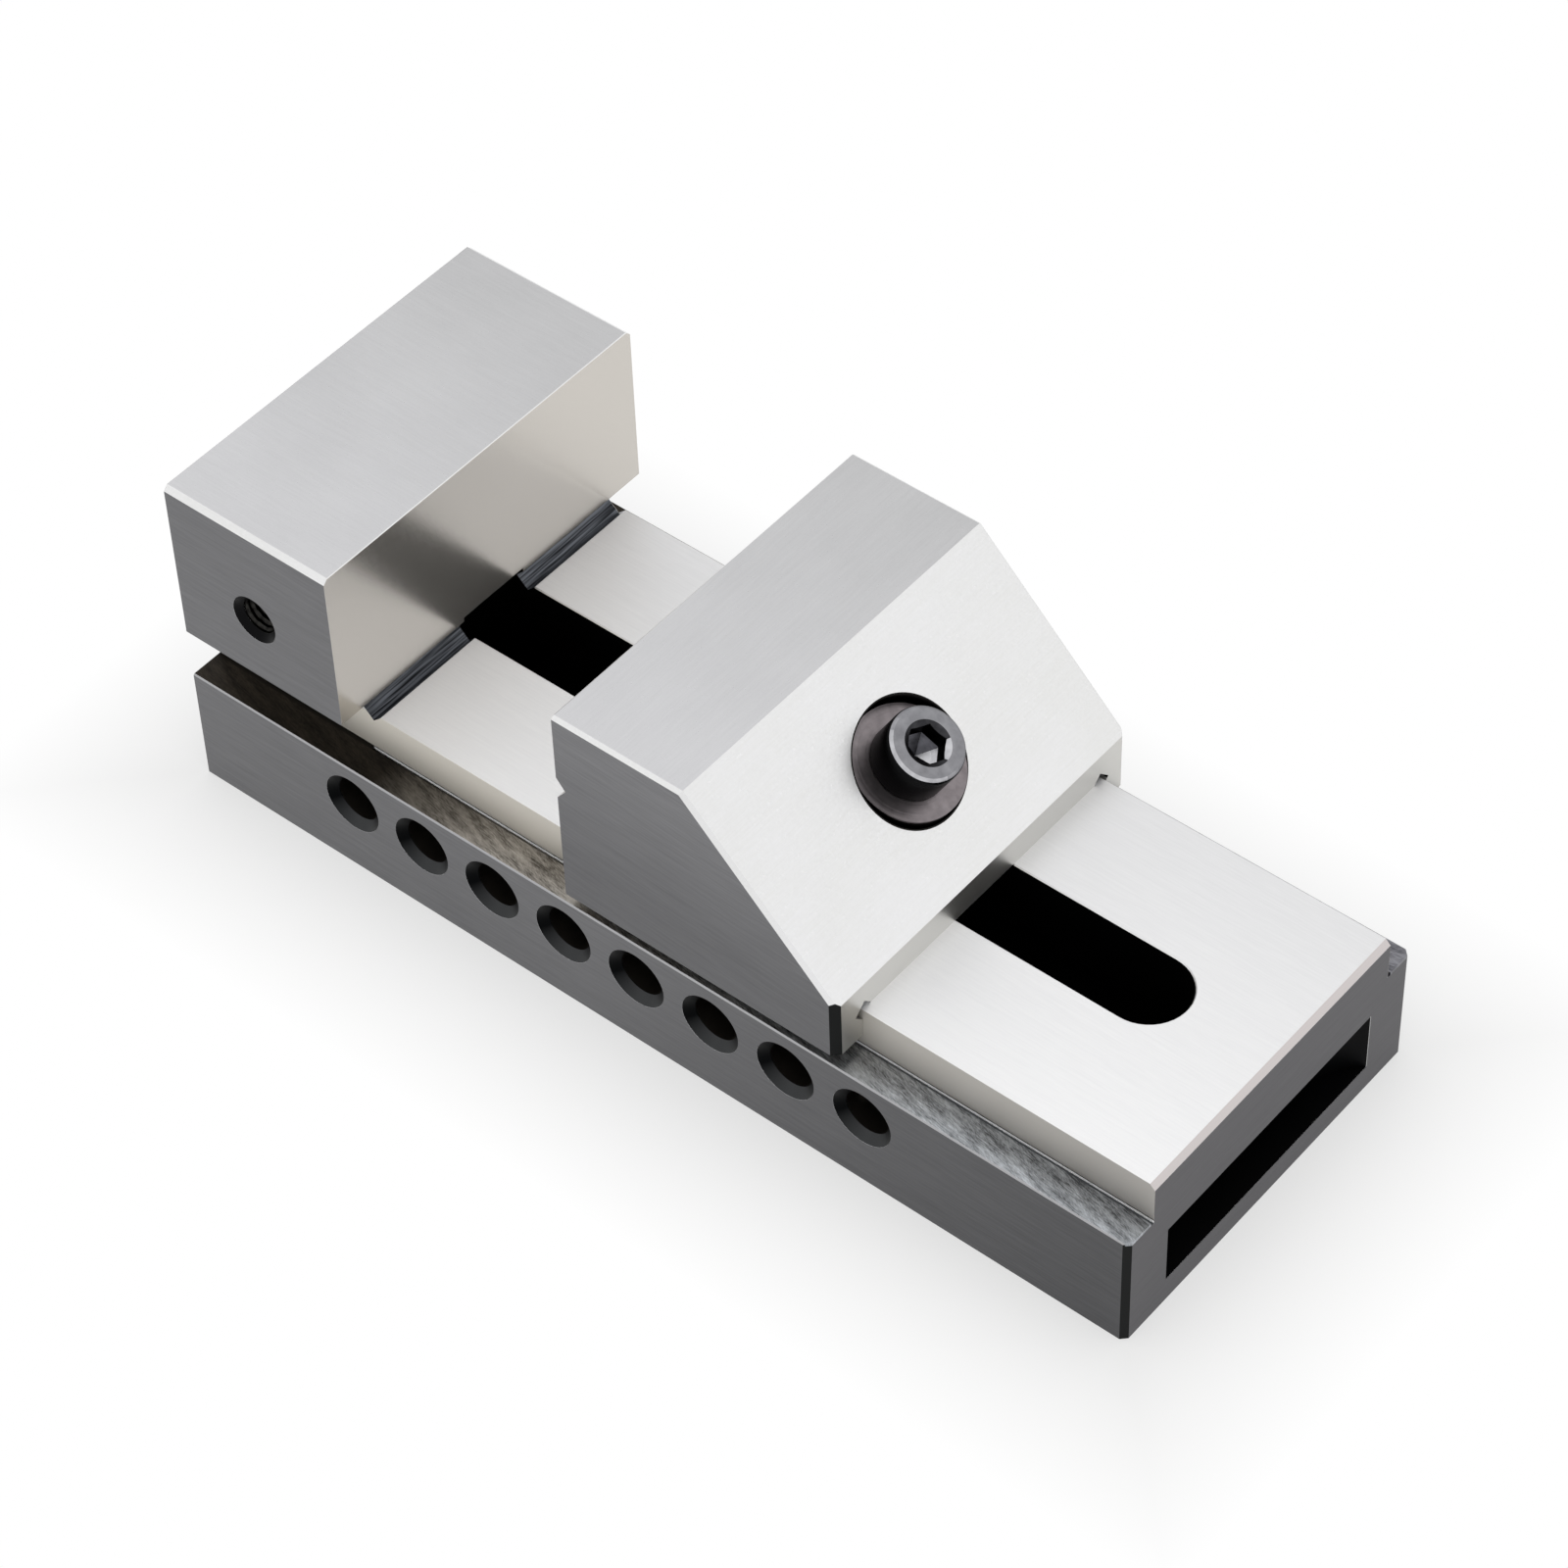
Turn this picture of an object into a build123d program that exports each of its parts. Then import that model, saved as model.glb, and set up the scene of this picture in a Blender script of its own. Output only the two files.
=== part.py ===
"""A toolmaker's precision grinding vise: body, movable jaw, clamping screw, spherical washer and cross nut.

Millimetres. The origin is the middle of the base's underside, +X points from the fixed jaw to the
open end, +Z is up, and the shape is the same on both sides of the plane y = 0.
"""
import math
import os

from build123d import *

# Base, rail and fixed jaw
base_length = 190.5
width = 73.0
step_top = 23.4
rail_width = 60.4
rail_top = 31.4
jaw_top = 65.9
fixed_jaw_length = 34.4
fixed_jaw_underside = 33.4
foot_relief_width = 0.7
foot_relief_depth = 0.5

# Underside pocket, long slot and end window
pocket_width = 53.0
pocket_roof = 17.3
pocket_start = 27.5
pocket_corner_radius = 6.0
window_overlap = 0.3
slot_width = 14.5
slot_first_centre = 34.4
slot_last_centre = 166.8
slot_notch_top = 34.5
window_floor = 5.1
cutter_radius = 17.0
cutter_outside = 11.0
cutter_centre_y = 13.4

# Cross holes, which leave half-round notches in the pocket's roof
cross_hole_count = 8
cross_hole_first = 34.4
cross_hole_pitch = 15.1
cross_hole_height = 15.0
cross_hole_radius = 4.2
cross_hole_countersink = 1.5

# Tapped hole for a work stop in the side of the fixed jaw
stop_hole_from_back = 17.0
stop_hole_height = 46.6
stop_hole_radius = 3.4
stop_hole_countersink = 1.2
stop_hole_depth = 16.0

# Saw-cut relief in the corner of fixed jaw and rail
root_relief_width = 3.2
root_relief_depth = 0.65

# Movable jaw, drawn at the opening seen in the photograph
opening_at_rest = 46.7
movable_jaw_length = 54.4
movable_jaw_top_length = 25.4
nose_height = 5.5
cheek_above_step = 2.2
side_fit = 0.05
cheek_relief_width = 3.1
cheek_relief_depth = 0.7
groove_height = 50.2
groove_half_width = 2.2
groove_depth = 1.75

# Swivelling seat of the screw in the slanted face
slant_angle = 45.0
seat_radius = 10.5
pivot_below_face = 0.3
ball_fit = 0.08
washer_rim_radius = 9.85
washer_top_below_pivot = 0.2
washer_thickness = 7.4
passage_radius = 4.6
passage_steepest = 27.0
passage_shallowest = 50.0

# Clamping screw and cross nut
screw_tilt = 30.0
shank_radius = 4.0
shank_length = 55.0
head_radius = 6.5
head_height = 8.0
head_edge = 0.6
socket_across_flats = 6.0
socket_depth = 4.0
socket_mouth_radius = 3.6
socket_turn = 6.0
shank_tip_edge = 0.8
thread_fit = 0.05
nut_body_radius = 6.0
nut_pin_radius = 4.0
nut_body_side_gap = 0.5
nut_pin_end_gap = 0.5
nut_above_table = 0.35
nut_edge = 0.6

# Broken edges
edge_break = 1.0
jaw_break = 0.7
nose_break = 1.3
step_break = 0.25
fine_break = 0.2

half_width = width / 2
rail_half = rail_width / 2
slot_half = slot_width / 2
back = -base_length / 2
front = base_length / 2
jaw_face = back + fixed_jaw_length
past = 1.0


def block(start, end, half, low, high):
    """A box from start to end along X, reaching half to both sides of y = 0, from low up to high."""
    middle = Pos((start + end) / 2, 0, (low + high) / 2)
    return middle * Box(end - start, 2 * half, high - low)


def edges_near(shape, x=None, y=None, z=None):
    """Those edges of a shape whose middles lie at the given coordinates; y counts on both sides."""
    found = shape.edges()
    if x is not None:
        found = found.filter_by(lambda edge: abs(edge.center().X - x) < 0.01)
    if y is not None:
        found = found.filter_by(lambda edge: abs(abs(edge.center().Y) - y) < 0.01)
    if z is not None:
        found = found.filter_by(lambda edge: abs(edge.center().Z - z) < 0.01)
    return found


def hole_mouths(shape, height):
    """The circles, on the two side faces, of the holes whose axes lie at the given height."""
    circles = shape.edges().filter_by(GeomType.CIRCLE)
    circles = circles.filter_by(lambda edge: abs(abs(edge.arc_center.Y) - half_width) < 0.01)
    return circles.filter_by(lambda edge: abs(edge.arc_center.Z - height) < 0.01)


def slot_mouth(shape):
    """The long slot's two sides and its round open end, where they meet the top of the rail."""
    sides = edges_near(shape, y=slot_half, z=rail_top)
    ends = shape.edges().filter_by(GeomType.CIRCLE)
    ends = ends.filter_by(lambda edge: abs(edge.center().Z - rail_top) < 0.01)
    ends = ends.filter_by(lambda edge: edge.center().X > back + slot_last_centre)
    return sides + ends


def saw_cut(corner_x, corner_y, corner_z, turn, cut_width, depth, length):
    """A square-bottomed saw cut into a corner: turn points its open end out of the corner."""
    reach = cut_width + depth
    cut = Pos(0, 0, reach / 2 - depth) * Box(length, cut_width, reach)
    return Pos(corner_x, corner_y, corner_z) * turn * cut


def make_body():
    """Base, rail and fixed jaw in one piece, with everything that is cut out of it."""
    base = block(back, front, half_width, 0, step_top)
    base = chamfer(edges_near(base, x=front, y=half_width), edge_break)
    outer = base.edges().filter_by(lambda edge: abs(edge.center().Y) > rail_half)
    base = chamfer(edges_near(outer, z=step_top), step_break)

    rail = block(back, front, rail_half, step_top, rail_top)
    rail = chamfer(edges_near(rail, x=front, y=0, z=rail_top), edge_break)

    jaw = block(back, jaw_face, half_width, fixed_jaw_underside, jaw_top)
    jaw = chamfer(edges_near(jaw, y=half_width, z=jaw_top), edge_break)
    jaw = chamfer(edges_near(jaw, x=jaw_face, y=0, z=jaw_top), fine_break)
    neck = block(back, jaw_face, rail_half, step_top, fixed_jaw_underside)
    body = base + rail + neck + jaw

    for side in (-1, 1):
        relief = block(jaw_face, front + past, foot_relief_width / 2, step_top - foot_relief_depth, step_top)
        body -= Pos(0, side * (rail_half + foot_relief_width / 2), 0) * relief

    root_turn = Rot(0, 45, 0) * Rot(0, 0, 90)
    body -= saw_cut(jaw_face, 0, rail_top, root_turn, root_relief_width, root_relief_depth, width + past)

    cutter_x = front + cutter_outside
    window_height = pocket_roof - window_floor
    window = extrude(SlotCenterToCenter(2 * cutter_centre_y, 2 * cutter_radius), window_height)
    body -= Pos(cutter_x, 0, window_floor) * Rot(0, 0, 90) * window

    pocket_end = cutter_x - cutter_radius + window_overlap
    pocket_begin = back + pocket_start
    pocket_outline = RectangleRounded(pocket_end - pocket_begin, pocket_width, pocket_corner_radius)
    pocket = extrude(pocket_outline, pocket_roof + past)
    body -= Pos((pocket_begin + pocket_end) / 2, 0, -past) * pocket

    slot_run = slot_last_centre - slot_first_centre
    slot_middle = back + (slot_first_centre + slot_last_centre) / 2
    slot = extrude(SlotCenterToCenter(slot_run, slot_width), slot_notch_top)
    body -= Pos(slot_middle, 0, 0) * slot
    body = chamfer(slot_mouth(body), fine_break)

    for number in range(cross_hole_count):
        place = Pos(back + cross_hole_first + number * cross_hole_pitch, 0, cross_hole_height)
        body -= place * Rot(90, 0, 0) * Cylinder(cross_hole_radius, width + past)
    body = chamfer(hole_mouths(body, cross_hole_height), cross_hole_countersink)

    stop_middle = -half_width + (stop_hole_depth - past) / 2
    stop_place = Pos(back + stop_hole_from_back, stop_middle, stop_hole_height)
    body -= stop_place * Rot(90, 0, 0) * Cylinder(stop_hole_radius, stop_hole_depth + past)
    return chamfer(hole_mouths(body, stop_hole_height), stop_hole_countersink)


face_x = jaw_face + opening_at_rest
nose_x = face_x + movable_jaw_length
top_end_x = face_x + movable_jaw_top_length
nose_top = rail_top + nose_height
cheek_bottom = step_top + cheek_above_step
slant_x = (top_end_x + nose_x) / 2
slant_z = (jaw_top + nose_top) / 2
face_normal_x = math.sin(math.radians(slant_angle))
face_normal_z = math.cos(math.radians(slant_angle))
pivot_x = slant_x - pivot_below_face * face_normal_x
pivot_z = slant_z - pivot_below_face * face_normal_z


def make_movable_jaw():
    """The sliding jaw: a saddle over the rail with a slanted face, the screw's seat and its passage."""
    outline = Polyline(
        (face_x, cheek_bottom),
        (face_x, jaw_top),
        (top_end_x, jaw_top),
        (nose_x, nose_top),
        (nose_x, cheek_bottom),
        close=True,
    )
    jaw = extrude(Plane.XZ * make_face(outline), half_width, both=True)
    jaw = chamfer(edges_near(jaw, x=slant_x, y=half_width), jaw_break)
    jaw = chamfer(edges_near(jaw, x=nose_x, y=half_width), nose_break)
    jaw = chamfer(edges_near(jaw, y=half_width, z=jaw_top), jaw_break)
    jaw = chamfer(edges_near(jaw, x=face_x, y=0, z=jaw_top), fine_break)

    inner_half = rail_half + side_fit
    jaw -= block(face_x - past, nose_x + past, inner_half, cheek_bottom - past, rail_top)
    middle_x = (face_x + nose_x) / 2
    cut_size = (cheek_relief_width, cheek_relief_depth, movable_jaw_length + past)
    for side in (-1, 1):
        turn = Rot(side * 135, 0, 0)
        jaw -= saw_cut(middle_x, side * inner_half, rail_top, turn, *cut_size)

    groove_outline = Polyline(
        (face_x - past, groove_height + groove_half_width * (1 + past / groove_depth)),
        (face_x + groove_depth, groove_height),
        (face_x - past, groove_height - groove_half_width * (1 + past / groove_depth)),
        close=True,
    )
    jaw -= extrude(Plane.XZ * make_face(groove_outline), half_width + past, both=True)

    pivot = Pos(pivot_x, 0, pivot_z)
    square_to_face = pivot * Rot(0, slant_angle, 0)
    mouth_depth = pivot_below_face + past
    jaw -= square_to_face * Sphere(seat_radius)
    jaw -= square_to_face * Pos(0, 0, mouth_depth / 2) * Cylinder(seat_radius, mouth_depth)

    reach = (pivot_z - rail_top) / math.cos(math.radians(passage_shallowest)) + 2 * passage_radius
    steep = Rot(0, passage_steepest, 0)
    shallow = Rot(0, passage_shallowest, 0)
    bore = Pos(0, 0, -reach / 2) * Cylinder(passage_radius, reach)
    fan_corners = [(0, 0), fan_point(passage_steepest, reach), fan_point(passage_shallowest, reach)]
    fan = Polyline(*fan_corners, close=True)
    jaw -= pivot * steep * bore
    jaw -= pivot * shallow * bore
    jaw -= pivot * extrude(Plane.XZ * make_face(fan), passage_radius, both=True)
    return jaw


def fan_point(angle, reach):
    """The point at the given reach below the pivot, on a line that leans by angle from upright."""
    return (-reach * math.sin(math.radians(angle)), -reach * math.cos(math.radians(angle)))


screw_place = Pos(pivot_x, 0, pivot_z) * Rot(0, screw_tilt, 0)
nut_reach = (pivot_z - nut_body_radius - nut_above_table) / math.cos(math.radians(screw_tilt))


def make_screw():
    """Socket head cap screw, drawn along Z with the pivot at the origin and its head upwards."""
    seat = -washer_top_below_pivot
    head = Pos(0, 0, seat + head_height / 2) * Cylinder(head_radius, head_height)
    head = chamfer(edges_near(head, z=seat + head_height), head_edge)
    socket = extrude(RegularPolygon(socket_across_flats / 2, 6, major_radius=False), socket_depth)
    head -= Pos(0, 0, seat + head_height - socket_depth) * Rot(0, 0, socket_turn) * socket
    mouth_depth = socket_mouth_radius - socket_across_flats / 2
    mouth = Cone(socket_across_flats / 2, socket_mouth_radius, mouth_depth)
    head -= Pos(0, 0, seat + head_height - mouth_depth / 2) * mouth
    shank = Pos(0, 0, seat - shank_length / 2) * Cylinder(shank_radius, shank_length)
    shank = chamfer(edges_near(shank, z=seat - shank_length), shank_tip_edge)
    return screw_place * (head + shank)


def make_washer():
    """Half-ball washer: spherical underside, flat top for the screw head, turned-down rim."""
    top = -washer_top_below_pivot
    disc = Pos(0, 0, top - washer_thickness / 2) * Cylinder(washer_rim_radius, washer_thickness)
    washer = disc & Sphere(seat_radius - ball_fit)
    washer -= Cylinder(shank_radius + thread_fit, 4 * seat_radius)
    return screw_place * washer


def make_nut():
    """Cross nut: a short stout middle with the tapped hole, and a pin to each side for the notches."""
    pin_length = pocket_width - 2 * nut_pin_end_gap
    body_length = slot_width - 2 * nut_body_side_gap
    pin = Cylinder(nut_pin_radius, pin_length)
    pin = chamfer(pin.edges(), nut_edge)
    middle = Cylinder(nut_body_radius, body_length)
    middle = chamfer(middle.edges(), nut_edge)
    nut = Rot(90, 0, 0) * (pin + middle)
    nut -= Cylinder(shank_radius + thread_fit, 4 * nut_body_radius)
    return screw_place * Pos(0, 0, -nut_reach) * nut


pieces = {
    "body": make_body(),
    "movable_jaw": make_movable_jaw(),
    "clamp_screw": make_screw(),
    "spherical_washer": make_washer(),
    "cross_nut": make_nut(),
}

os.makedirs("parts", exist_ok=True)
for name, shape in pieces.items():
    export_step(shape, f"parts/{name}.step")
print("pivot", round(pivot_x, 3), round(pivot_z, 3), "nut reach", round(nut_reach, 3))
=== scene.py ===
"""Looks of the precision grinding vise: ground, milled and black oxide steel, a threaded cap screw and a
tapped hole, on white paper in soft studio light.

Metres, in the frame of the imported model: the origin is the middle of the base's underside, +X points
from the fixed jaw to the open end, +Z is up. Finishes and new pieces are worked out in millimetres.
"""
import math
from collections import namedtuple

import bpy
import numpy as np
from mathutils import Matrix


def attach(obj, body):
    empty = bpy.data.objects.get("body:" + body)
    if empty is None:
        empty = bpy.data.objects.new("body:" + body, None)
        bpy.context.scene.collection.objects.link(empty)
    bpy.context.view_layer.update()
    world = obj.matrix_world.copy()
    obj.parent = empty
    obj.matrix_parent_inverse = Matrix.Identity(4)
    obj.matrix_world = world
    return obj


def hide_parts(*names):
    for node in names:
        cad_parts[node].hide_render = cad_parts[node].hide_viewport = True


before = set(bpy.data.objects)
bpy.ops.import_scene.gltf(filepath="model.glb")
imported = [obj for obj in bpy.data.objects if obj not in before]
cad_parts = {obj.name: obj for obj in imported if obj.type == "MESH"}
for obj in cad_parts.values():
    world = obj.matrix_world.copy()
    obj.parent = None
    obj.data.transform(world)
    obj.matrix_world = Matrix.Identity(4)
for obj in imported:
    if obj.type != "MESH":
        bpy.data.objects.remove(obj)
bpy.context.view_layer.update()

MM = 0.001
WHITE = (1.0, 1.0, 1.0)

# Sizes of the solids that the finishes and the new pieces follow, in millimetres and degrees
HALF_LENGTH = 95.25
HALF_WIDTH = 36.5
STEP_TOP = 23.4
RAIL_HALF = 30.2
RAIL_TOP = 31.4
SLOT_HALF = 7.25
SLOT_NOTCH_TOP = 34.5
POCKET_ROOF = 17.3
JAW_TOP = 65.9
JAW_FACE = -60.85
JAW_NOSE = 40.25
END_BREAK = 1.0
STEP_BREAK = 0.25
NOSE_BREAK = 1.3
RELIEF_WIDTH = 0.7
PIVOT = (25.538, 0.0, 51.188)
SCREW_TILT = 30.0
SOCKET_TURN = 6.0
SEAT_RADIUS = 10.5
THREAD_PITCH = 1.25
STOP_HOLE = (-78.25, -36.5, 46.6)

# Levels between which a finish is looked for: just under the relief at the rail's foot, just inside
# the end faces, and just past the countersinks of the cross holes and of the work-stop hole
FOOT = STEP_TOP - 0.6
WITHIN_ENDS = HALF_LENGTH - 0.06
SUNK_TO = HALF_WIDTH - 1.55
STOP_SUNK_TO = HALF_WIDTH - 1.25
# A point this near to a face counts as on it, and a hollow starts this far from the face it opens in
SKIN = 0.02
CLEAR = 0.03

# Directions of the wheel's lines
ALONG_X = (0.0, 0.0, 0.0)
ALONG_Y = (0.0, 0.0, math.radians(90))
ALONG_JAW_SIDE = (0.0, math.radians(4), 0.0)

# Wear and painted highlights on the black pieces, in the screw's own frame, from the middle of the
# washer's ball: lowest and highest point along the axis, inner and outer radius, angles round the axis, dull
# and bright colour
WASHER_WEAR = [(-0.6, 0.2, 4.0, 9.9, -181, 181, "#7A7476", "#928B8D")]
NUT_WEAR = [(-52.0, -30.0, 5.0, 40.0, -181, 181, "#353331", "#4A4744")]
SCREW_WEAR_AND_HIGHLIGHTS = [
    # Top of the head and its rim in grey, the rim lighter towards -Y as a painted highlight
    (7.6, 8.0, 3.85, 6.0, -181, 181, "#808084", "#98989C"),
    (7.35, 7.75, 5.7, 6.3, -181, 181, "#808084", "#98989C"),
    (7.35, 7.75, 5.7, 6.3, -172, 8, "#8C8C90", "#ACACB0"),
    (7.35, 7.75, 5.7, 6.3, -150, -16, "#A8A8AC", "#D0D0D4"),
    # Mouth of the socket, with one edge lighter as a painted highlight
    (7.0, 7.78, 2.99, 3.92, -181, 181, "#2A2A2C", "#454548"),
    (7.06, 7.78, 2.99, 3.92, 7, 65, "#B0B0B4", "#D6D6DA"),
    # Bottom of the socket, with one facet lighter as a painted highlight
    (1.5, 4.05, 0.0, 3.5, 6, 64, "#C4C4C8", "#DEDEE2"),
    (1.5, 4.05, 0.0, 3.5, 64, 181, "#3A3A3E", "#606066"),
    (1.5, 4.05, 0.0, 3.5, -181, 6, "#3A3A3E", "#606066"),
]

# A point of a surface in millimetres: as a vector, by its parts, and with x and y made positive
Spot = namedtuple("Spot", "where x y z far_x far_y")


# Tools for materials

def linear(code, alpha=1.0):
    """An sRGB hex colour as the linear colour that Blender's sockets take."""
    parts = [int(code[i:i + 2], 16) / 255 for i in (1, 3, 5)]
    return [c / 12.92 if c <= 0.04045 else ((c + 0.055) / 1.055) ** 2.4 for c in parts] + [alpha]


def add(tree, kind, feeds=None, **settings):
    """Adds one node: settings are its own properties, feeds its inputs, each a value or a node's output.
    Inputs by number: a MapRange has the value as 0, the range that it comes from as 1 and 2, and the one
    that it goes to, if not 0 to 1, as 3 and 4; a Mix has the share as 0, and as its two ends values as 2
    and 3, or colours as 6 and 7."""
    node = tree.nodes.new("ShaderNode" + kind)
    for name, value in settings.items():
        setattr(node, name, value)
    for key, value in (feeds or {}).items():
        if isinstance(value, bpy.types.NodeSocket):
            tree.links.new(value, node.inputs[key])
        else:
            node.inputs[key].default_value = value
    return node


def new_material(name):
    """An empty node material and its tree."""
    material = bpy.data.materials.new(name)
    material.use_nodes = True
    material.node_tree.nodes.clear()
    return material, material.node_tree


def place_of(tree):
    """The spot that is shaded, from Object coordinates."""
    feeds = {0: add(tree, "TexCoord").outputs["Object"], 1: (1 / MM, 1 / MM, 1 / MM)}
    where = add(tree, "VectorMath", feeds, operation="MULTIPLY").outputs[0]
    x, y, z = add(tree, "SeparateXYZ", {0: where}).outputs
    far_x = add(tree, "Math", {0: x}, operation="ABSOLUTE").outputs[0]
    far_y = add(tree, "Math", {0: y}, operation="ABSOLUTE").outputs[0]
    return Spot(where, x, y, z, far_x, far_y)


def on(value, level, slack=SKIN):
    """The range close to a level."""
    return value, level - slack, level + slack


def between(value, low, high, clear):
    """The range from low to high, less a little at both ends."""
    return value, low + clear, high - clear


def up_to(value, high):
    """The range from nought to high."""
    return value, -1.0, high


def within(tree, *ranges):
    """A mask that is 1 where every (value, low, high) holds: a product of comparisons."""
    mask = None
    for value, low, high in ranges:
        feeds = {0: value, 1: (low + high) / 2, 2: (high - low) / 2}
        part = add(tree, "Math", feeds, operation="COMPARE").outputs[0]
        if mask is not None:
            part = add(tree, "Math", {0: mask, 1: part}, operation="MULTIPLY").outputs[0]
        mask = part
    return mask


def tint(tree, recipe):
    """A colour from its recipe: an sRGB hex value, a node's output, or (share, first, second), which goes
    from the first recipe to the second as the share goes from 0 to 1. The share is a node's output, or
    (output, low, high), which rises from 0 at low to 1 at high."""
    if isinstance(recipe, str):
        return linear(recipe)
    if isinstance(recipe, bpy.types.NodeSocket):
        return recipe
    share, first, second = recipe
    if isinstance(share, tuple):
        value, low, high = share
        share = add(tree, "MapRange", {0: value, 1: low, 2: high}).outputs[0]
    feeds = {0: share, 6: tint(tree, first), 7: tint(tree, second)}
    return add(tree, "Mix", feeds, data_type="RGBA").outputs[2]


def lay(tree, surface, mask, **finish):
    """The surface with a finish laid over it where the mask is 1. Each has one or more of colour, as a
    recipe, rough, height and metal."""
    laid = dict(surface)
    for name, value in finish.items():
        if name == "colour":
            laid[name] = tint(tree, (mask, surface[name], value))
        else:
            feeds = {0: mask, 2: surface[name], 3: value}
            laid[name] = add(tree, "Mix", feeds, data_type="FLOAT").outputs[0]
    return laid


def lay_marks(tree, surface, marks):
    """The surface with a list of marks laid over it in turn, each (colour, rough, range, range, ...)."""
    for colour, rough, *ranges in marks:
        surface = lay(tree, surface, within(tree, *ranges), colour=colour, rough=rough)
    return surface


def grinding_lines(tree, where, turn, along, across, detail):
    """Fine lines left by a wheel or a cutter: noise drawn out along X turned by turn; along and across are
    the size of a line in millimetres."""
    feeds = {"Vector": where, "Rotation": turn, "Scale": (along, across, across)}
    laid = add(tree, "Mapping", feeds, vector_type="TEXTURE").outputs[0]
    feeds = {"Vector": laid, "Scale": 1.0, "Detail": detail, "Roughness": 0.6}
    return add(tree, "TexNoise", feeds).outputs[0]


def uneven(tree, where, grain, low, high):
    """A roughness that wanders between low and high, in grains of this many millimetres."""
    grains = add(tree, "TexNoise", {"Vector": where, "Scale": 1 / grain, "Detail": 2.0}).outputs[0]
    return add(tree, "MapRange", {0: grains, 1: 0.25, 2: 0.75, 3: low, 4: high}).outputs[0]


def seen_directly(tree):
    """1 for camera, glossy and transmission rays, 0 for the rays that light what they meet."""
    path = add(tree, "LightPath").outputs
    feeds = {0: path["Is Camera Ray"], 1: path["Is Glossy Ray"]}
    seen = add(tree, "Math", feeds, operation="MAXIMUM").outputs[0]
    return add(tree, "Math", {0: seen, 1: path["Is Transmission Ray"]}, operation="MAXIMUM").outputs[0]


def finish_metal(tree, surface, relief, grazing="#FFFFFF"):
    """Leads a metal surface to the output: relief is the strength of its fine height, grazing tints what
    it mirrors at a flat angle, and metal below 1 gives the haze of steel that scatters some of the light."""
    feeds = {"Height": surface["height"], "Strength": relief, "Distance": 0.0001}
    bump = add(tree, "Bump", feeds).outputs[0]
    shader = add(tree, "BsdfPrincipled", {
        "Base Color": tint(tree, surface["colour"]), "Metallic": surface["metal"],
        "Roughness": surface["rough"], "Normal": bump, "Specular Tint": linear(grazing)})
    add(tree, "OutputMaterial", {"Surface": shader.outputs[0]})


# Finishes of the real vise

def ground_finish(tree, at, turn):
    """Surface ground tool steel: bright, a little cloudy, with the fine straight lines of the wheel, and
    partly matt, so that it fills dark reflections with haze; the jaws' tops a little greyer."""
    patches = add(tree, "TexNoise", {"Vector": at.where, "Scale": 1 / 22, "Detail": 2.0}).outputs[0]
    # Wheel marks are some hundredths of a millimetre apart; drawn at 0.3 mm so that they show
    lines = grinding_lines(tree, at.where, turn, 7.0, 0.3, 3.0)
    cloud = add(tree, "Math", {0: patches, 1: lines}, operation="ADD").outputs[0]
    cloud = add(tree, "MapRange", {0: cloud, 1: 0.7, 2: 1.3}).outputs[0]
    over_width = (at.y, -HALF_WIDTH, HALF_WIDTH)
    tops = (cloud, (over_width, "#CDCDCF", "#BCBCBD"), (over_width, "#D4D4D6", "#C4C4C5"))
    on_top = within(tree, on(at.z, JAW_TOP, 0.05))
    colour = tint(tree, (on_top, (cloud, "#E4E4E3", "#E9E9EA"), tops))
    rough = uneven(tree, at.where, 0.4, 0.26, 0.46)
    return {"colour": colour, "rough": rough, "height": lines, "metal": 1.0}


def coarse_ground_in_painted_shade(tree, surface, mask, at, turn, dull, bright):
    """The surface with a coarser ground finish where the mask is 1, its colour painted dark as painted
    shade, its lines dull and bright.
    Real lines are under a tenth of a millimetre wide; drawn at 0.35 mm so that they show."""
    lines = grinding_lines(tree, at.where, turn, 9.0, 0.35, 4.0)
    return lay(tree, surface, mask, colour=((lines, 0.25, 0.75), dull, bright), rough=0.4, height=lines)


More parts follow.
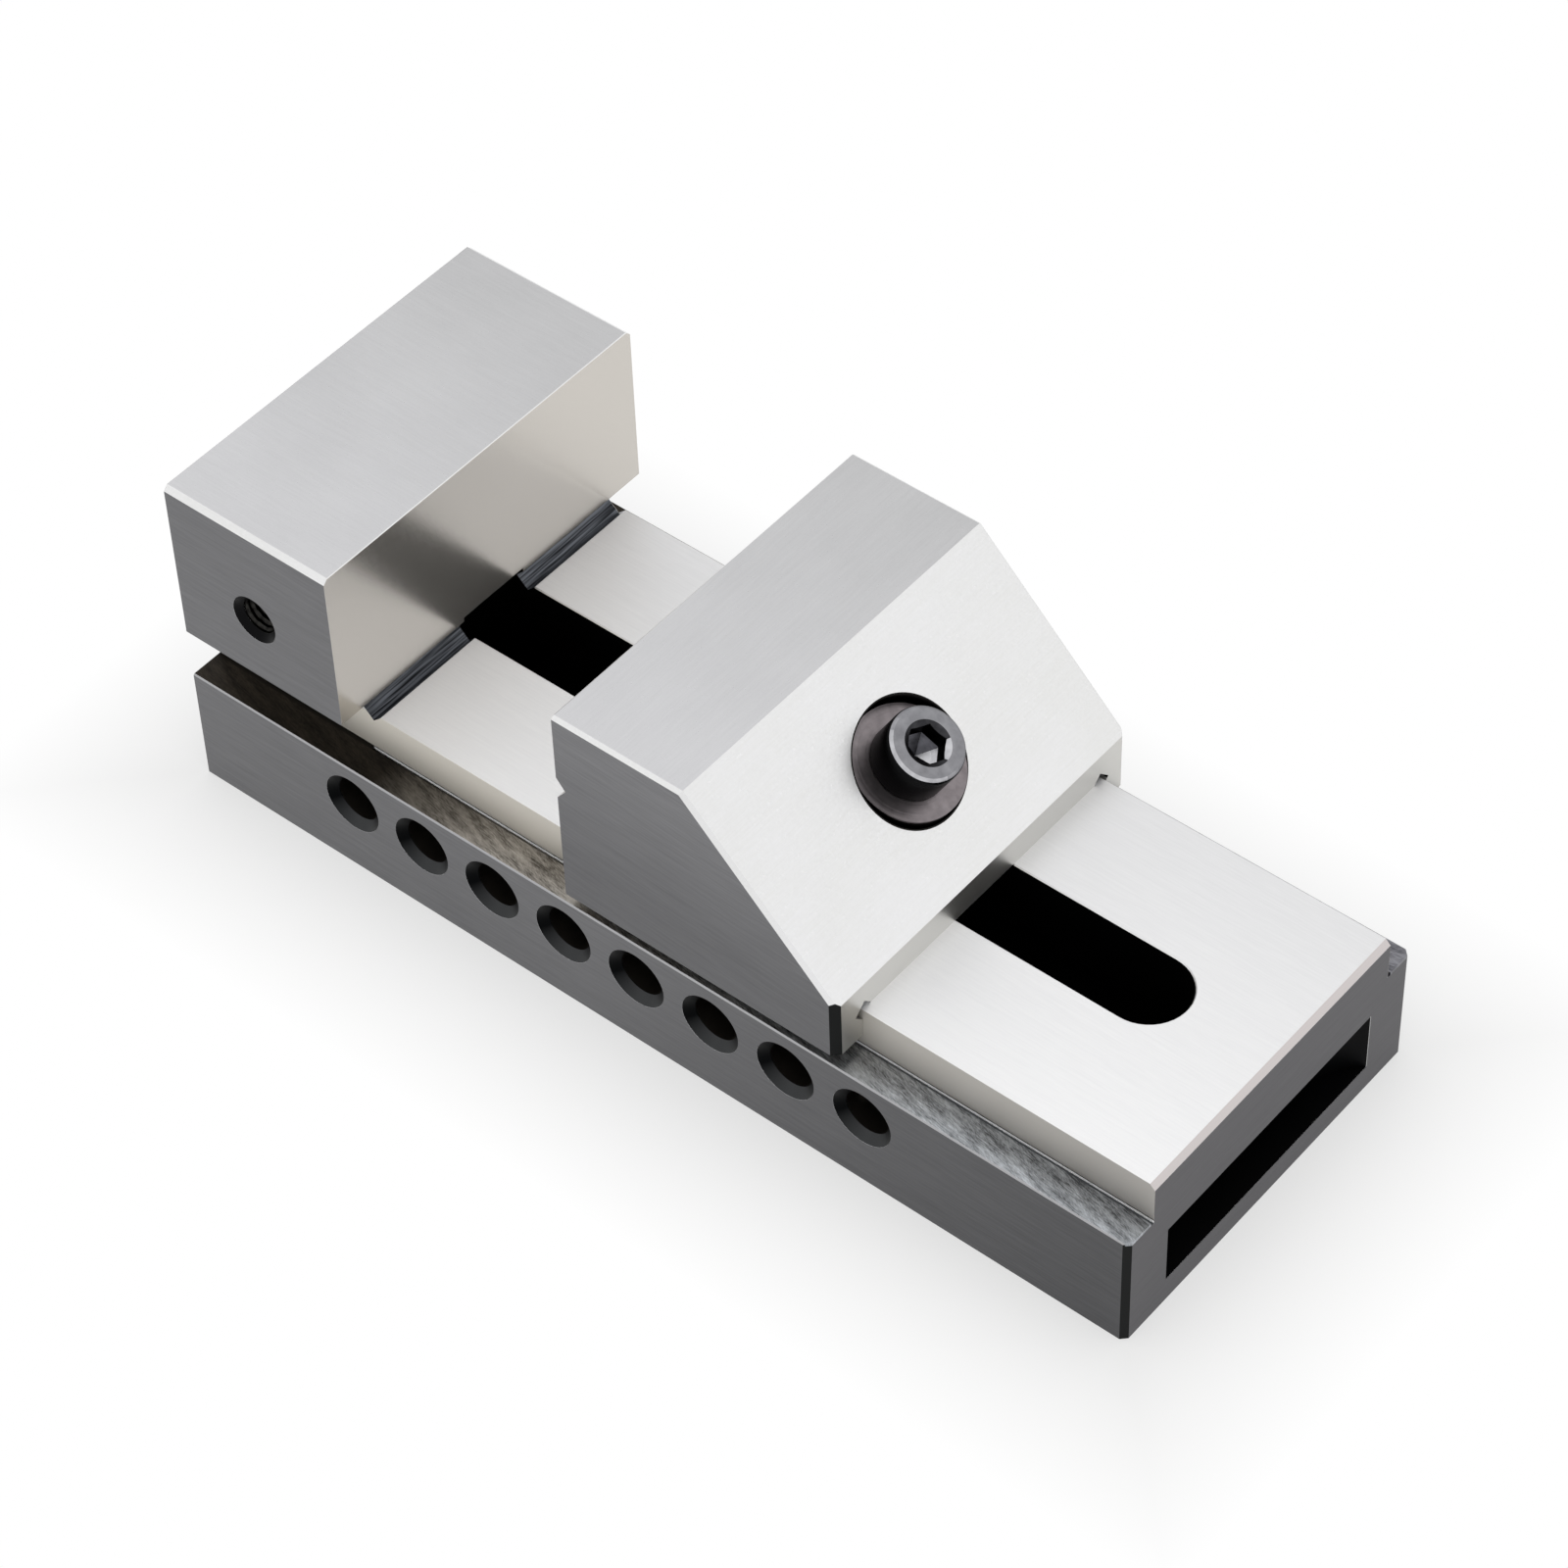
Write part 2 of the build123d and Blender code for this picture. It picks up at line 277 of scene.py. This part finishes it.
def milled_step(tree, surface, at):
    """The steps beside the rail, end milled: overlapping scratches that run along the step and slant
    outwards, bright over dark, in bands where the cutter chattered; painted dark as painted shade near the
    fixed jaw, where it is brownish, beside the rail and in the far corner at the open end; bluish at the
    open end."""
    flat = add(tree, "CombineXYZ", {0: at.x, 1: at.far_y}).outputs[0]
    # Scratches about 2 mm long; real ones are some hundredths wide, drawn at 0.2 mm so that they show
    fine = grinding_lines(tree, flat, (0.0, 0.0, math.radians(9)), 1.8, 0.2, 5.0)
    steep = grinding_lines(tree, flat, (0.0, 0.0, math.radians(32)), 0.9, 0.2, 5.0)
    bands = grinding_lines(tree, flat, (0.0, 0.0, math.radians(16)), 7.0, 1.3, 3.0)
    scratches = add(tree, "Math", {0: fine, 1: 1.5, 2: steep}, operation="MULTIPLY_ADD").outputs[0]
    tone = add(tree, "Math", {0: bands, 1: 1.4, 2: scratches}, operation="MULTIPLY_ADD").outputs[0]
    # Darker next to the rail wall, as painted shade
    outward = add(tree, "MapRange", {0: at.far_y, 1: RAIL_HALF, 2: HALF_WIDTH, 3: -0.18, 4: 0.1}).outputs[0]
    tone = add(tree, "Math", {0: tone, 1: outward}, operation="ADD").outputs[0]
    tone = add(tree, "MapRange", {0: tone, 1: 1.53, 2: 2.48}).outputs[0]
    # The relief at the rail's foot is painted dark as painted shade
    relief = within(tree, (at.far_y, RAIL_HALF + SKIN, RAIL_HALF + RELIEF_WIDTH))
    tone = add(tree, "Mix", {0: relief, 2: tone, 3: 0.0}, data_type="FLOAT").outputs[0]

    from_jaw, to_end = (at.x, -56.0, -30.0), (at.x, -20.0, 60.0)
    dark = (to_end, (from_jaw, "#1B1917", "#524E49"), "#55575A")
    light = (to_end, (from_jaw, "#3A352F", "#BDB8B1"), "#D4D9DF")
    # The far corner at the open end is painted darker, as painted shade
    far_corner = within(tree, (at.y, RAIL_HALF, HALF_WIDTH), (at.x, 84.0, 96.0))
    colour = (far_corner, (tone, dark, light), (tone, "#414146", "#9A9AA0"))
    rough = add(tree, "MapRange", {0: scratches, 1: 1.0, 2: 1.5, 3: 0.28, 4: 0.48}).outputs[0]
    on_step = within(tree, (at.z, FOOT, STEP_TOP + SKIN),
                     (at.far_y, RAIL_HALF + SKIN, HALF_WIDTH - STEP_BREAK))
    return lay(tree, surface, on_step, colour=colour, rough=rough, height=scratches)


def body_steel():
    """Tool steel of base, rail and fixed jaw: ground bright on the working faces, ground coarser with clear
    lines on the outer sides, end milled on the steps; sides and ends painted dark, and broken corners and
    hollows painted black, as painted shade."""
    material, tree = new_material("ground_tool_steel_body")
    at = place_of(tree)
    surface = ground_finish(tree, at, ALONG_X)

    # Outer sides, painted dark as painted shade and darker towards the open end, and both end faces, painted
    # dark as painted shade too
    to_end = (at.x, -10.0, 90.0)
    surface = coarse_ground_in_painted_shade(tree, surface, within(tree, on(at.far_y, HALF_WIDTH)), at, ALONG_X,
                            (to_end, "#6A6A6C", "#4E4E50"), (to_end, "#79797B", "#5C5C5E"))
    surface = coarse_ground_in_painted_shade(tree, surface, within(tree, on(at.far_x, HALF_LENGTH)), at, ALONG_Y,
                            "#504F52", "#5D5C5F")
    # Face of the fixed jaw, finer than the rest: it mirrors rail and slot
    face = within(tree, on(at.x, JAW_FACE), (at.z, RAIL_TOP, JAW_TOP))
    lapped = uneven(tree, at.where, 0.5, 0.19, 0.26)
    surface = lay(tree, surface, face, colour="#D2CDC6", rough=lapped, metal=0.82)
    # Top of the rail, nearly white and matt, and its sides
    top = within(tree, on(at.z, RAIL_TOP), (at.x, JAW_FACE, HALF_LENGTH - CLEAR))
    over_width = (at.y, -HALF_WIDTH, HALF_WIDTH)
    top_lines = (surface["height"], 0.25, 0.75)
    white = (top_lines, (over_width, "#F9F9FA", "#E5E5E6"), (over_width, "#FFFFFF", "#EBEBEC"))
    surface = lay(tree, surface, top, colour=white, rough=0.5, metal=0.66)
    wall = within(tree, on(at.far_y, RAIL_HALF), (at.z, FOOT, RAIL_TOP))
    surface = lay(tree, surface, wall, colour=((at.x, -60.0, 90.0), "#EAE6DD", "#C2BFBA"), rough=0.65)

    corner = add(tree, "Math", {0: at.x, 1: at.far_y}, operation="ADD").outputs[0]
    # Countersinks painted lighter where they face up and a little back, a painted highlight, and near black
    # elsewhere as painted shade
    feeds = {0: add(tree, "TexCoord").outputs["Normal"], 1: (-0.35, 0.0, 1.0)}
    upward = add(tree, "VectorMath", feeds, operation="DOT_PRODUCT").outputs["Value"]
    sunk = ((upward, 0.05, 0.72), "#0B0C0D", "#3C3D3E")
    # The saw cut is painted dark as painted shade, with lighter streaks along the cut; it reaches this far
    # into the steel and out along the faces
    streaks = grinding_lines(tree, at.where, ALONG_Y, 12.0, 0.3, 2.0)
    shaded_saw_cut = ((streaks, 0.34375, 0.65625), "#17181A", "#63666C")
    cut_in, cut_out = 1.7, 2.2
    # Hollows are painted near black as painted shade
    hollow = "#161616"
    beside_slot = up_to(at.far_y, SLOT_HALF + CLEAR)
    across_rail = up_to(at.far_y, RAIL_HALF - CLEAR)
    rail_side = on(at.far_y, RAIL_HALF)
    surface = lay_marks(tree, surface, [
        # Corners broken on the open end, painted black as painted shade
        ("#1E1F1F", 0.5, on(corner, HALF_LENGTH + HALF_WIDTH - END_BREAK, CLEAR), (at.z, 0.0, STEP_TOP)),
        # Thin break along the top edge of the sides
        ("#A9A9AB", 0.4, between(at.far_y, HALF_WIDTH - STEP_BREAK, HALF_WIDTH, 0.01),
         between(at.z, STEP_TOP - STEP_BREAK, STEP_TOP, 0.01)),
        # Saw cut at the foot of the jaw's face: its part in the rail and its part in the jaw
        (shaded_saw_cut, 0.3, across_rail, (at.x, JAW_FACE - cut_in, JAW_FACE + cut_out),
         (at.z, RAIL_TOP - cut_in, RAIL_TOP - SKIN)),
        (shaded_saw_cut, 0.3, across_rail, (at.x, JAW_FACE - cut_in, JAW_FACE - SKIN),
         (at.z, RAIL_TOP - SKIN, RAIL_TOP + cut_out)),
        # Foot of the rail's sides: a dark line of painted shade and, down in the relief, a white line of
        # painted highlight
        ("#4A4844", 0.6, rail_side, (at.z, STEP_TOP - SKIN, STEP_TOP + 0.2)),
        ("#FFFFFF", 0.9, rail_side, (at.z, FOOT, STEP_TOP - SKIN)),
        # Bevel at the open end of the rail's top
        ("#D3CDCC", 0.5, across_rail, between(at.x, HALF_LENGTH - END_BREAK, HALF_LENGTH, CLEAR),
         between(at.z, RAIL_TOP - END_BREAK, RAIL_TOP, CLEAR)),
        # Countersinks of the cross holes, and of the work-stop hole painted near black as painted shade
        (sunk, 0.4, (at.far_y, SUNK_TO, HALF_WIDTH - CLEAR), (at.z, 1.0, 22.0), up_to(at.far_x, 90.0)),
        ("#151516", 0.4, (at.far_y, STOP_SUNK_TO, HALF_WIDTH - CLEAR), on(at.x, STOP_HOLE[0], 6.0),
         on(at.z, STOP_HOLE[2], 5.5)),
        # Wall and bottom of the work-stop hole, painted near black as painted shade
        (hollow, 0.5, (at.y, 1.3 - HALF_WIDTH, 16.3 - HALF_WIDTH), on(at.x, STOP_HOLE[0], 4.0),
         on(at.z, STOP_HOLE[2], 4.0)),
        # Pocket, then the walls of the cross holes and of the end window, all painted dark as painted shade
        (hollow, 0.5, up_to(at.far_x, WITHIN_ENDS), up_to(at.far_y, SUNK_TO), (at.z, 0.05, FOOT)),
        ("#57514B", 0.4, up_to(at.far_x, 90.0), (at.far_y, 31.0, SUNK_TO), (at.z, 5.0, 20.0)),
        ("#121213", 0.6, (at.x, 84.0, WITHIN_ENDS), (at.far_y, 14.0, 30.0), (at.z, 5.0, POCKET_ROOF + 0.1)),
        # Long slot, and its notch in the fixed jaw
        (hollow, 0.5, beside_slot, (at.x, JAW_FACE - 1.0, 80.0),
         (at.z, POCKET_ROOF - 0.3, RAIL_TOP - 0.22)),
        (hollow, 0.5, beside_slot, (at.x, -72.0, JAW_FACE - SKIN),
         (at.z, POCKET_ROOF - 0.3, SLOT_NOTCH_TOP + 0.1)),
    ])
    surface = milled_step(tree, surface, at)
    finish_metal(tree, surface, 0.04)
    return material


def jaw_steel():
    """Tool steel of the movable jaw, finished like the body, with its outer sides, the corners of its nose,
    the reliefs of its saddle and the screw's seat and passage painted dark as painted shade.
    """
    material, tree = new_material("ground_tool_steel_jaw")
    at = place_of(tree)
    surface = ground_finish(tree, at, ALONG_Y)
    # Outer sides, painted dark as painted shade, darker towards the bottom
    rise = (at.z, 35.0, 62.0)
    surface = coarse_ground_in_painted_shade(tree, surface, within(tree, on(at.far_y, HALF_WIDTH)), at, ALONG_JAW_SIDE,
                            (rise, "#616163", "#727274"), (rise, "#6F6F71", "#828284"))
    corner = add(tree, "Math", {0: at.x, 1: at.far_y}, operation="ADD").outputs[0]
    from_pivot = add(tree, "VectorMath", {0: at.where, 1: PIVOT}, operation="DISTANCE").outputs["Value"]
    surface = lay_marks(tree, surface, [
        # Upright nose, and its broken corners painted black as painted shade
        ("#D6D5D1", 0.4, on(at.x, JAW_NOSE), (at.z, 20.0, 40.0)),
        ("#1E1F1F", 0.5, on(corner, JAW_NOSE + HALF_WIDTH - NOSE_BREAK, CLEAR), (at.z, 20.0, 40.0)),
        # Reliefs in the inner corners of the saddle, painted black as painted shade
        ("#0C0C0C", 0.5, (at.x, -14.1, 40.2), (at.far_y, 29.3, 31.8), (at.z, 30.5, 33.6)),
        # The screw's seat and passage, painted dark as painted shade
        ("#222120", 0.35, up_to(from_pivot, SEAT_RADIUS + 0.25), (at.z, RAIL_TOP + 0.2, 62.0)),
        ("#222120", 0.5, up_to(at.far_y, 5.2), (at.z, RAIL_TOP + 0.05, 50.0), (at.x, 1.0, 30.0)),
    ])
    finish_metal(tree, surface, 0.04)
    return material


def turned_black_steel(name, side, roughness, wear_and_highlights):
    """Black oxide on turned or rolled alloy steel: near black with a satin sheen, greyed by rubbing where
    tools and hands touch it, and on the screw lighter in painted highlights; found by height along the
    screw's axis, radius from it and angle round it."""
    material, tree = new_material(name)
    where = place_of(tree).where
    lean = math.radians(SCREW_TILT)
    axis = (math.sin(lean), 0.0, math.cos(lean))
    across = (math.cos(lean), 0.0, -math.sin(lean))
    arm = add(tree, "VectorMath", {0: where, 1: PIVOT}, operation="SUBTRACT").outputs[0]
    height, first, second = (
        add(tree, "VectorMath", {0: arm, 1: direction}, operation="DOT_PRODUCT").outputs["Value"]
        for direction in (axis, across, (0.0, 1.0, 0.0)))
    square_to_axis = add(tree, "VectorMath", {0: arm, 1: axis}, operation="CROSS_PRODUCT").outputs[0]
    radius = add(tree, "VectorMath", {0: square_to_axis}, operation="LENGTH").outputs["Value"]
    angle = add(tree, "Math", {0: second, 1: first}, operation="ARCTAN2").outputs[0]
    angle = add(tree, "Math", {0: angle}, operation="DEGREES").outputs[0]
    # Turning marks of 0.2 mm feed round the axis, drawn at 0.3 mm so that they show
    turned = add(tree, "CombineXYZ", {0: radius, 1: height}).outputs[0]
    marks = add(tree, "TexNoise", {"Vector": turned, "Scale": 1 / 0.3, "Detail": 2.0}).outputs[0]
    feeds = {0: marks, 1: 0.3, 2: 0.7, 3: roughness - 0.06, 4: roughness + 0.06}
    rough = add(tree, "MapRange", feeds).outputs[0]
    blotches = add(tree, "TexNoise", {"Vector": where, "Scale": 1 / 1.6, "Detail": 3.0}).outputs[0]
    blotch_share = add(tree, "MapRange", {0: blotches, 1: 0.25, 2: 0.75}).outputs[0]
    surface = {"colour": side, "rough": rough, "height": marks, "metal": 1.0}
    for low, high, inner, outer, start, stop, dull, bright in wear_and_highlights:
        rubbed_and_lit = within(tree, (height, low, high), (radius, inner, outer), (angle, start, stop))
        surface = lay(tree, surface, rubbed_and_lit, colour=(blotch_share, dull, bright))
    finish_metal(tree, surface, 0.15, "#C8C8C8")
    return material


def tapped_steel():
    """Cut thread in tool steel, painted near black all over, in blotches, as painted shade inside the hole.
    """
    material, tree = new_material("tapped_tool_steel")
    where = place_of(tree).where
    blotches = add(tree, "TexNoise", {"Vector": where, "Scale": 1 / 0.8, "Detail": 2.0}).outputs[0]
    colour = tint(tree, ((blotches, 0.25, 0.75), "#121211", "#343331"))
    shader = add(tree, "BsdfPrincipled", {"Base Color": colour, "Metallic": 1.0, "Roughness": 0.3})
    add(tree, "OutputMaterial", {"Surface": shader.outputs[0]})
    return material


# New pieces

def mesh_from_rings(name, points, closed_ends):
    """A closed surface over a grid of rings, points[k, i] in millimetres: quads between neighbouring rings,
    and at each end a fan to the middle of the last ring, or else the last ring joins the first."""
    rings, around = points.shape[:2]
    k, i = np.meshgrid(np.arange(rings - 1 if closed_ends else rings), np.arange(around), indexing="ij")
    j, up = (i + 1) % around, (k + 1) % rings
    quads = np.stack([k * around + i, k * around + j, up * around + j, up * around + i], -1).reshape(-1, 4)
    verts = points.reshape(-1, 3)
    faces = quads.tolist()
    if closed_ends:
        first, last = len(verts), len(verts) + 1
        verts = np.vstack([verts, points[0].mean(0), points[-1].mean(0)])
        ring = np.arange(around)
        ahead = (ring + 1) % around
        top = (rings - 1) * around
        faces += np.stack([ahead, ring, np.full(around, first)], -1).tolist()
        faces += np.stack([top + ring, top + ahead, np.full(around, last)], -1).tolist()
    mesh = bpy.data.meshes.new(name)
    mesh.from_pydata((verts * MM).tolist(), [], faces)
    mesh.shade_smooth()
    mesh.set_sharp_from_angle(angle=math.radians(24))
    piece = bpy.data.objects.new(name, mesh)
    bpy.context.scene.collection.objects.link(piece)
    return piece


def ridge(distance, angle):
    """A 60 degree thread's height, 0 in the root and 1 on the crest: a saw tooth of the phase, in turns,
    distance / pitch - angle / full turn, with flats on root and crest."""
    root_flat, flank = 0.12, 0.7
    phase = distance / THREAD_PITCH - angle / (2 * math.pi)
    saw = np.abs((phase % 1.0) - 0.5) * 2
    return np.clip((saw - root_flat) / flank, 0, 1)


def threaded_screw():
    """Socket head cap screw, one closed surface from its tip over thread and head into the socket.
    Rings along the axis, each a radius as a function of the angle: on the thread the root radius plus
    the ridge, cut down to the point and the run-out, and in the socket the hexagon apothem / cos(angle)
    over a six-sided point."""
    around = 72
    turn = math.radians(SOCKET_TURN)
    angle = turn + np.arange(around) * 2 * math.pi / around

    crest, root = 4.0, 3.42
    tip, neck = -55.2, -2.4
    tip_radius, run_out_length = 3.15, 1.5
    heights = np.arange(tip, neck, THREAD_PITCH / 8)[:, None]
    thread = root + (crest - root) * ridge(heights, angle)
    point = tip_radius + (heights - tip)
    run_out = root + np.clip((neck - heights) / run_out_length, 0, 1) * (crest - root)
    thread = np.minimum(np.minimum(thread, point), run_out)

    # Neck, underside, side, rounded rim and top of the head as (height, radius)
    head = np.array([
        (-2.3, root), (-0.75, root), (-0.45, 3.55), (-0.2, 3.9), (-0.2, 6.1), (0.05, 6.42), (0.3, 6.5),
        (6.8, 6.5), (7.05, 6.46), (7.3, 6.34), (7.52, 6.15), (7.7, 5.92), (7.78, 5.72), (7.8, 5.55),
        (7.8, 3.98), (7.74, 3.88)])
    mouth_level, mouth_radius = head[-1]

    apothem, draft, point_share = 3.0, 0.02, 0.05
    mouth_slope, lip = 0.8, 0.12
    floor_level, point_level = 4.0, 2.6
    sector = (angle - turn + math.pi / 6) % (math.pi / 3) - math.pi / 6
    hexagon = apothem / np.cos(math.pi / 6 - np.abs(sector))
    mouth = mouth_level - (mouth_radius - hexagon) * mouth_slope
    flat = np.ones(around)
    socket_heights = np.stack([mouth, mouth - lip, flat * floor_level, flat * point_level])
    socket = np.stack([hexagon, hexagon - draft, hexagon - draft, hexagon * point_share])

    height = np.vstack([np.repeat(heights, around, 1), np.repeat(head[:, :1], around, 1), socket_heights])
    radius = np.vstack([thread, np.repeat(head[:, 1:], around, 1), socket])
    upright = np.stack([radius * np.cos(angle), radius * np.sin(angle), height], -1)
    sine, cosine = math.sin(math.radians(SCREW_TILT)), math.cos(math.radians(SCREW_TILT))
    leaning = np.array([[cosine, 0, sine], [0, 1, 0], [-sine, 0, cosine]])
    return mesh_from_rings("socket_head_screw", upright @ leaning.T + np.array(PIVOT), True)


def stop_hole_thread():
    """Thread inside the work-stop hole: a closed sleeve whose inner side is the wall's radius less the
    ridge, which fades in below the mouth, and whose outer side lies just inside the steel."""
    around = 72
    wall, rise = 3.4, 0.42
    start, stop, lead_in = 1.2, 14.8, 0.8
    into_steel, past_ends = 0.06, 0.05
    angle = np.arange(around) * 2 * math.pi / around
    depth = np.arange(start, stop, THREAD_PITCH / 10)[:, None]
    fade = np.clip((depth - start) / lead_in, 0.05, 1)
    inner = wall - rise * ridge(depth, angle) * fade
    outer = np.full((2, around), wall + into_steel)
    outer_depth = np.array([depth[-1] + past_ends, [start - past_ends]])
    radius = np.vstack([inner, outer])
    deep = np.repeat(np.vstack([depth, outer_depth]), around, 1)
    points = np.stack([radius * np.cos(angle), deep, radius * np.sin(angle)], -1) + np.array(STOP_HOLE)
    return mesh_from_rings("work_stop_thread", points, False)


def dress():
    """Gives every node its finish and adds the new pieces."""
    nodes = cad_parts
    finishes = {
        "body": body_steel(),
        "movable_jaw": jaw_steel(),
        "spherical_washer": turned_black_steel("black_oxide_washer", "#2A2624", 0.34, WASHER_WEAR),
        "cross_nut": turned_black_steel("black_oxide_nut", "#353331", 0.4, NUT_WEAR),
    }
    for name, material in finishes.items():
        for slot in nodes[name].material_slots:
            slot.material = material

    screw = threaded_screw()
    screw.data.materials.append(turned_black_steel("black_oxide_screw", "#171718", 0.32, SCREW_WEAR_AND_HIGHLIGHTS))
    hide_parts("clamp_screw")
    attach(screw, "screw")

    thread = stop_hole_thread()
    thread.data.materials.append(tapped_steel())
    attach(thread, "body")


# Floor, lights and camera

def floor_material():
    """Plain white paper: diffuse, lifted to white for camera, glossy and transmission rays away from
    the vise, so that its soft shadow stays; dark under the base, where no light reaches."""
    material, tree = new_material("white_paper_floor")
    at = place_of(tree)
    shaded_x, shaded_y = 93.0, 34.0
    under = within(tree, up_to(at.far_x, shaded_x), up_to(at.far_y, shaded_y))
    past_end = add(tree, "Math", {0: at.far_x, 1: HALF_LENGTH}, operation="SUBTRACT").outputs[0]
    past_side = add(tree, "Math", {0: at.far_y, 1: HALF_WIDTH}, operation="SUBTRACT").outputs[0]
    away = add(tree, "Math", {0: past_end, 1: past_side}, operation="MAXIMUM").outputs[0]
    shadow_reach, lift_at_base = 32.0, 0.55
    lift = add(tree, "MapRange", {0: away, 1: 0.0, 2: shadow_reach, 3: lift_at_base, 4: 1.0}).outputs[0]
    lift = add(tree, "Mix", {0: under, 2: lift, 3: 0.0}, data_type="FLOAT").outputs[0]
    lift = add(tree, "Math", {0: lift, 1: seen_directly(tree)}, operation="MULTIPLY").outputs[0]
    paper = add(tree, "BsdfDiffuse", {"Color": tint(tree, (under, "#F4F4F3", "#0C0C0C"))})
    white = add(tree, "Emission", {"Color": (*WHITE, 1.0), "Strength": 1.0})
    shader = add(tree, "MixShader", {0: lift, 1: paper.outputs[0], 2: white.outputs[0]})
    add(tree, "OutputMaterial", {"Surface": shader.outputs[0]})
    return material


def floor():
    """A wide level sheet under the vise."""
    mesh = bpy.data.meshes.new("floor")
    reach = 3.0
    corners = [(-reach, -reach, 0), (reach, -reach, 0), (reach, reach, 0), (-reach, reach, 0)]
    mesh.from_pydata(corners, [], [(0, 1, 2, 3)])
    sheet = bpy.data.objects.new("floor", mesh)
    sheet.data.materials.append(floor_material())
    bpy.context.scene.collection.objects.link(sheet)


def soft_lamp(name, place, size, radiance, colour):
    """A square soft lamp that faces the vise; its power follows from the radiance it should show."""
    lamp = bpy.data.lights.new(name, "AREA")
    lamp.shape = "SQUARE"
    lamp.size = size
    lamp.energy = radiance * math.pi * size ** 2
    lamp.color = colour
    holder = bpy.data.objects.new(name, lamp)
    middle_of_vise = np.array((0.0, 0.0, 0.04))
    away = np.array(place) - middle_of_vise
    away /= np.linalg.norm(away)
    right = np.cross((0, 0, 1), away)
    right /= np.linalg.norm(right)
    up = np.cross(away, right)
    pose = np.eye(4)
    pose[:3, 0], pose[:3, 1], pose[:3, 2], pose[:3, 3] = right, up, away, place
    holder.matrix_world = Matrix(pose.tolist())
    holder.visible_camera = False
    bpy.context.scene.collection.objects.link(holder)


def lights():
    """White surroundings, a little dimmer for the light they give than for the eye, and three large soft
    lamps, each where one set of bright faces reflects it: behind for the tops, to the right for the
    slanted face, to the front left for the broken edges."""
    world = bpy.data.worlds.new("white_studio")
    bpy.context.scene.world = world
    world.use_nodes = True
    tree = world.node_tree
    tree.nodes.clear()
    given_light = 0.8
    strength = add(tree, "MapRange", {0: seen_directly(tree), 3: given_light, 4: 1.0}).outputs[0]
    glow = add(tree, "Background", {"Color": (*WHITE, 1.0), "Strength": strength})
    add(tree, "OutputWorld", {"Surface": glow.outputs[0]})
    soft_lamp("lamp_behind", (-0.16, 0.56, 0.86), 0.42, 0.12, WHITE)
    soft_lamp("lamp_right", (0.70, 0.50, 0.44), 0.40, 0.1, (1.0, 0.995, 0.985))
    soft_lamp("lamp_front_left", (-0.44, -0.72, 0.54), 0.40, 0.1, WHITE)


def camera():
    """The photograph's view: azimuth 40.95, elevation 47.30 and a roll of -2.22 degrees, 115.6 mm lens."""
    eye = bpy.data.cameras.new("camera")
    eye.sensor_width = 36.0
    eye.lens = 115.61
    eye.clip_start = 0.01
    holder = bpy.data.objects.new("camera", eye)
    azimuth, elevation, roll = (math.radians(a) for a in (40.951, 47.298, -2.218))
    tilt = Matrix.Rotation(math.pi / 2 - elevation, 3, "X")
    turn = Matrix.Rotation(azimuth, 3, "Z") @ tilt @ Matrix.Rotation(roll, 3, "Z")
    holder.matrix_world = Matrix.Translation((0.354258, -0.408093, 0.614729)) @ turn.to_4x4()
    bpy.context.scene.collection.objects.link(holder)
    bpy.context.scene.camera = holder


camera()
floor()
lights()
dress()
bpy.context.scene.view_settings.view_transform = "Standard"
